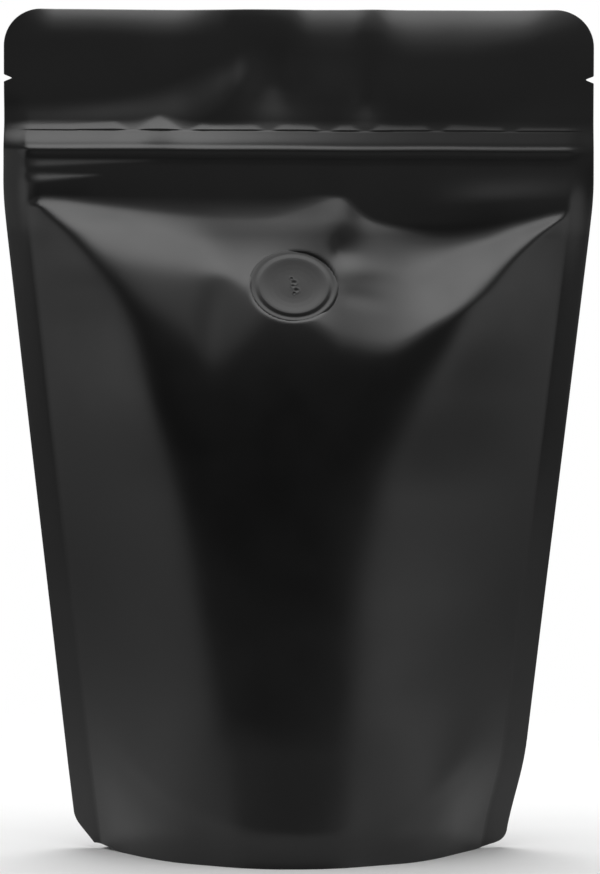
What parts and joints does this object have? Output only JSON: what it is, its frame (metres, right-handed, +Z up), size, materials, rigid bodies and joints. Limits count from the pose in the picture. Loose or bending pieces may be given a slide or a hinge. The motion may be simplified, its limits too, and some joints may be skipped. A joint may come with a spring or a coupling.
{
  "type": "stand-up pouch",
  "caption": "Filled stand-up pouch of matte black film with sealed sides, a round gusseted base, a press-to-close zip, tear notches, rounded corners and a degassing valve on its front shoulder.",
  "frame": {"origin": "on the surface the pouch stands on, under the middle of its box", "axes": "+Z up to the header's top edge, +X towards the right side seal as the front is seen, -Y out of the front panel that has the valve"},
  "size_m": [0.1612, 0.0813, 0.228],
  "materials": {
    "film": "matte black laminate film",
    "valve_film": "matte black laminate film over a valve disc"
  },
  "bodies": {
    "root": {"pouch": "film", "valve": "valve_film"}
  },
  "joints": []
}
